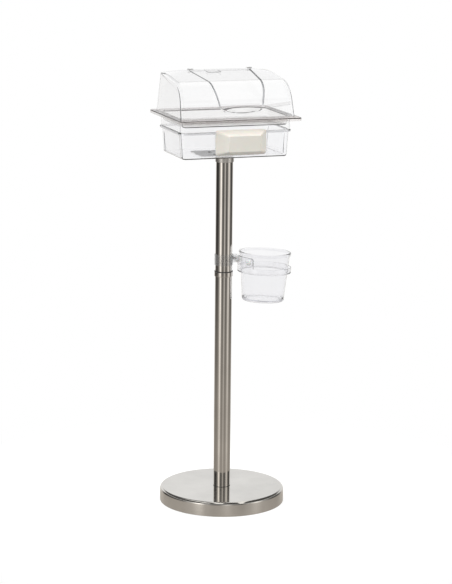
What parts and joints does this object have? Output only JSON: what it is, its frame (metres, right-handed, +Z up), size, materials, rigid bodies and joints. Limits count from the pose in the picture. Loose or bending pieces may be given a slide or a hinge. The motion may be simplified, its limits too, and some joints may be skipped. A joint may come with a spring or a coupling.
{
  "type": "food sampling stand",
  "caption": "Free-standing food sampling stand: round weighted base, pole, clear box and tray under a hinged-door dome, sign and clamp-on waste cup.",
  "frame": {"origin": "centre of the underside of the round floor pad, which is on the pole's axis", "axes": "+Z up along the pole, -Y towards the customer side with the sign and the door, +X towards the side with the waste cup"},
  "size_m": [0.3906, 0.3556, 1.2411],
  "materials": {
    "pad_rubber": "matt black rubber",
    "cast_iron": "rough cast",
    "base_steel": "spun stainless steel, satin side and polished top",
    "fastener_steel": "zinc plated steel",
    "turned_steel": "turned steel",
    "pole_steel": "polished stainless steel tube",
    "socket_steel": "satin steel",
    "plate_steel": "satin steel sheet",
    "pin_steel": "dark steel pin",
    "clear_plastic": "clear polycarbonate",
    "tray_plastic": "clear polycarbonate with a grey cast",
    "liner_plastic": "translucent vinyl",
    "knob_plastic": "translucent nylon",
    "ivory_plastic": "smooth ivory plastic"
  },
  "bodies": {
    "stand": {"floor_pad": "pad_rubber", "base_weight": "cast_iron", "base_cover": "base_steel", "base_bolt": "fastener_steel", "base_washer": "fastener_steel", "bottom_plug": "turned_steel", "lower_pole": "pole_steel", "joint_collar": "pole_steel", "joint_spigot": "turned_steel", "upper_pole": "pole_steel", "top_plug": "turned_steel", "top_socket": "socket_steel", "plate_bolt": "fastener_steel", "mount_plate": "plate_steel", "mount_screws": "fastener_steel", "mount_nuts": "fastener_steel", "storage_box": "clear_plastic"},
    "riser": {"riser_frame": "clear_plastic"},
    "tray": {"serving_tray": "tray_plastic"},
    "cover": {"dome_cover": "clear_plastic", "hinge_pins": "pin_steel"},
    "door": {"front_door": "clear_plastic"},
    "sign": {"sign_plaque": "ivory_plastic", "sign_back": "ivory_plastic", "sign_hooks": "clear_plastic"},
    "liner": {"clamp_liner": "liner_plastic"},
    "clamp": {"clamp_band": "clear_plastic", "clamp_nut": "fastener_steel"},
    "screw": {"clamp_screw": "knob_plastic"},
    "holder": {"holder_arm": "clear_plastic", "cup_ring": "clear_plastic", "ring_screws": "knob_plastic", "ring_nuts": "fastener_steel"},
    "cup": {"waste_cup": "clear_plastic"}
  },
  "joints": [
    {"name": "riser_lift", "type": "slide", "parent": "stand", "child": "riser", "axis": [0, 0, 1], "range_m": [0, 0.1]},
    {"name": "tray_lift", "type": "slide", "parent": "riser", "child": "tray", "axis": [0, 0, 1], "range_m": [0, 0.12]},
    {"name": "cover_lift", "type": "slide", "parent": "tray", "child": "cover", "axis": [0, 0, 1], "range_m": [0, 0.2]},
    {"name": "door_hinge", "type": "hinge", "parent": "cover", "child": "door", "pos_m": [0.01, 0.078, 1.23752], "axis": [-1, 0, 0], "range_deg": [0, 110]},
    {"name": "sign_lift", "type": "slide", "parent": "stand", "child": "sign", "axis": [0, 0, 1], "range_m": [0, 0.018]},
    {"name": "clamp_height", "type": "slide", "parent": "stand", "child": "liner", "axis": [0, 0, 1], "range_m": [-0.012, 0.08]},
    {"name": "clamp_swivel", "type": "hinge", "parent": "liner", "child": "clamp", "pos_m": [0, 0, 0.706], "axis": [0, 0, 1], "range_deg": [-180, 180]},
    {"name": "clamp_screw_turn", "type": "hinge", "parent": "clamp", "child": "screw", "pos_m": [0.03671, 0.00983, 0.706], "axis": [-0.2588, 0.9659, 0], "range_deg": [-180, 180]},
    {"name": "holder_tilt", "type": "hinge", "parent": "clamp", "child": "holder", "pos_m": [0.03671, 0.00983, 0.706], "axis": [-0.2588, 0.9659, 0], "range_deg": [-20, 10]},
    {"name": "cup_lift", "type": "slide", "parent": "holder", "child": "cup", "axis": [0.0421, 0.0113, 0.999], "range_m": [0, 0.15]}
  ]
}
